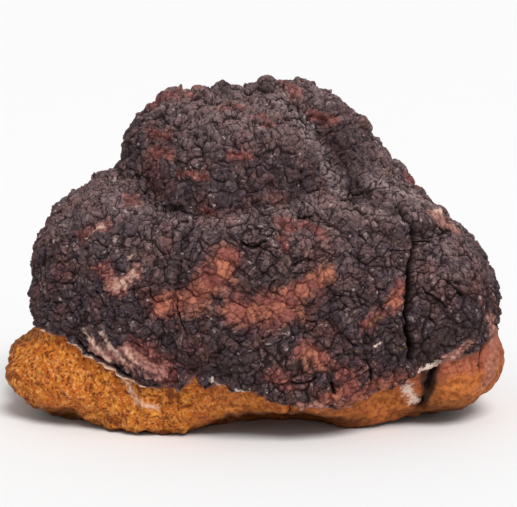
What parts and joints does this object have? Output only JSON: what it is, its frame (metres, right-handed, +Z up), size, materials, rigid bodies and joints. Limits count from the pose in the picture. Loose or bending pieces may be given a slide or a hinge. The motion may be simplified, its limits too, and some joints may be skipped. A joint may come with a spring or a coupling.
{
  "type": "chaga mushroom",
  "caption": "Chaga conk: a domed, lumpy birch fungus with a cracked black crust over rusty orange flesh, cut flat where it grew so that it rests on the cut.",
  "frame": {"origin": "on the flat cut, under the middle of the conk's box", "axes": "+Z up from the cut; -Y towards the front, the side with the long fissure; +X to the right as seen from the front, along the conk's longest side"},
  "size_m": [0.2419, 0.17, 0.1599],
  "materials": {
    "crust": "matte, cracked black crust with rusty orange flesh below its edge"
  },
  "bodies": {
    "root": {"chaga_conk": "crust"}
  },
  "joints": []
}
